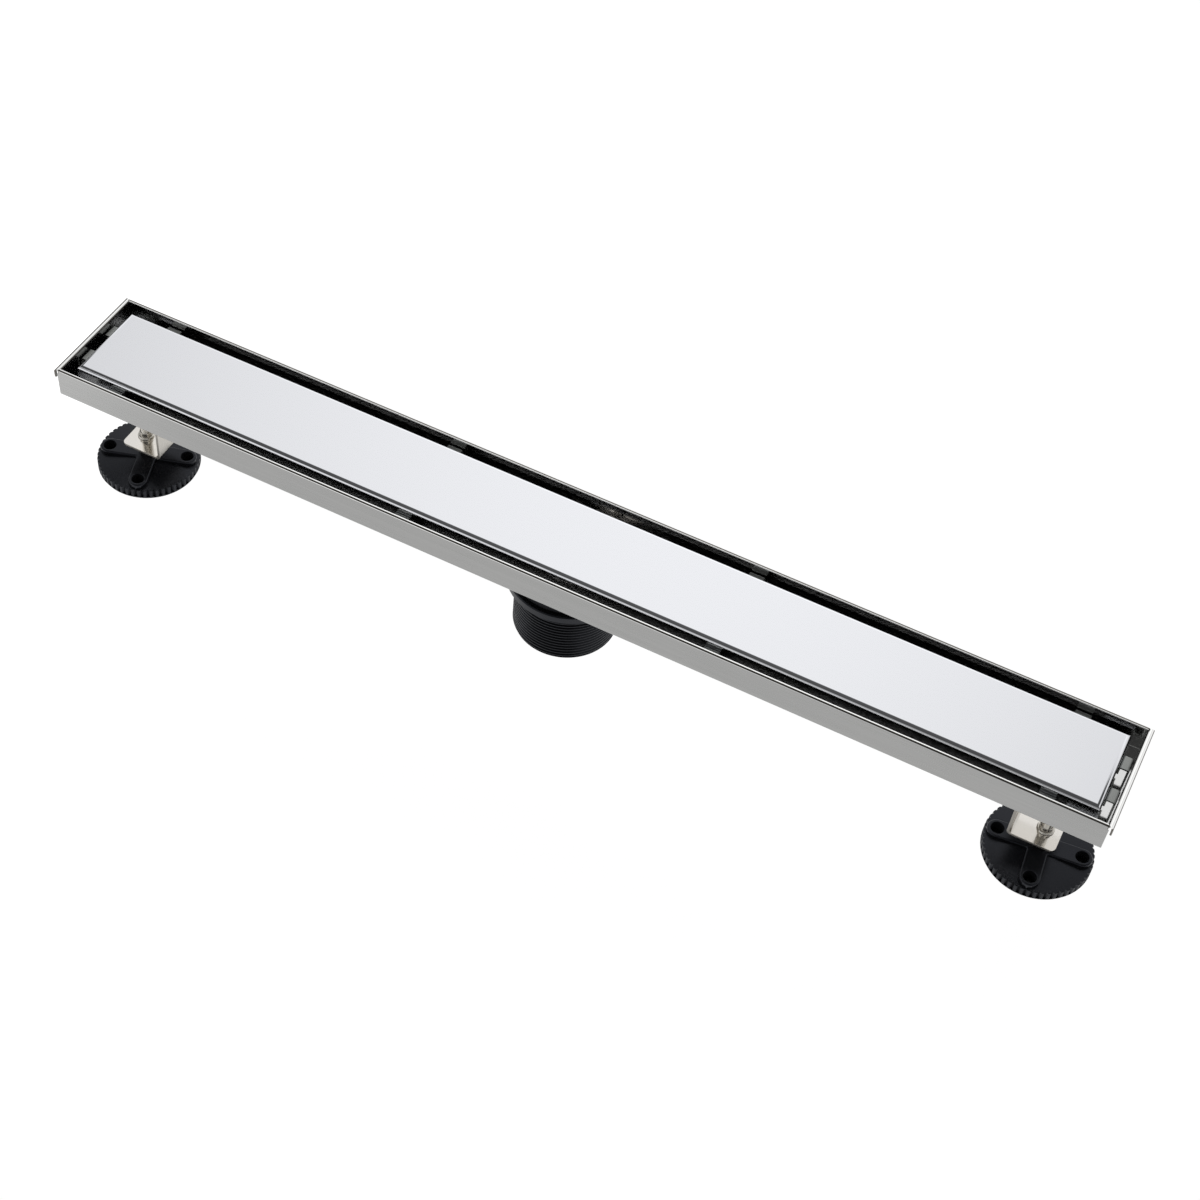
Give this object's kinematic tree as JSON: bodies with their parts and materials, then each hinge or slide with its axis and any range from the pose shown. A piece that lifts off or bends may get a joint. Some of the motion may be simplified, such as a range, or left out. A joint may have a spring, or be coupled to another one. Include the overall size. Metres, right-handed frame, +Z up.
{
  "type": "linear shower drain",
  "caption": "Long shallow steel trough with a flat lift-out cover, a round threaded outlet underneath and screw-adjusted levelling feet.",
  "frame": {"origin": "on the floor under the middle of the trough, level with the soles of the feet", "axes": "+X along the trough, +Y across it, +Z up"},
  "size_m": [0.61, 0.068, 0.088],
  "materials": {
    "trough_steel": "fine satin, brighter inside",
    "cover_steel": "fine lengthwise satin",
    "polished_steel": "polished",
    "outlet_plastic": "moulded, slight sheen",
    "seal_rubber": "matt",
    "pad_plastic": "moulded, slight sheen",
    "plated_steel": "bright plated"
  },
  "bodies": {
    "trough": {"trough_channel": "trough_steel", "end_wall_left": "trough_steel", "end_wall_right": "trough_steel", "outlet_neck": "trough_steel", "cover_pan": "cover_steel", "cover_lug_front_1": "cover_steel", "cover_lug_front_2": "cover_steel", "cover_lug_front_3": "cover_steel", "cover_lug_front_4": "cover_steel", "cover_lug_back_1": "cover_steel", "cover_lug_back_2": "cover_steel", "cover_lug_back_3": "cover_steel", "cover_lug_back_4": "cover_steel", "cover_lug_left_1": "cover_steel", "cover_lug_left_2": "cover_steel", "cover_lug_right_1": "cover_steel", "cover_lug_right_2": "cover_steel", "foot_bracket_left": "polished_steel", "foot_bracket_right": "polished_steel", "hair_strainer": "polished_steel", "outlet_adaptor": "outlet_plastic", "outlet_seal": "seal_rubber", "levelling_nut_left": "plated_steel", "levelling_nut_right": "plated_steel"},
    "left_foot": {"foot_pad_left": "pad_plastic", "foot_bolt_left": "plated_steel", "foot_nut_left": "plated_steel"},
    "right_foot": {"foot_pad_right": "pad_plastic", "foot_bolt_right": "plated_steel", "foot_nut_right": "plated_steel"}
  },
  "joints": [
    {"name": "left_foot_height", "type": "slide", "parent": "trough", "child": "left_foot", "axis": [0, 0, 1], "range_m": [-0.032, 0.006]},
    {"name": "right_foot_height", "type": "slide", "parent": "trough", "child": "right_foot", "axis": [0, 0, 1], "range_m": [-0.032, 0.006]}
  ]
}
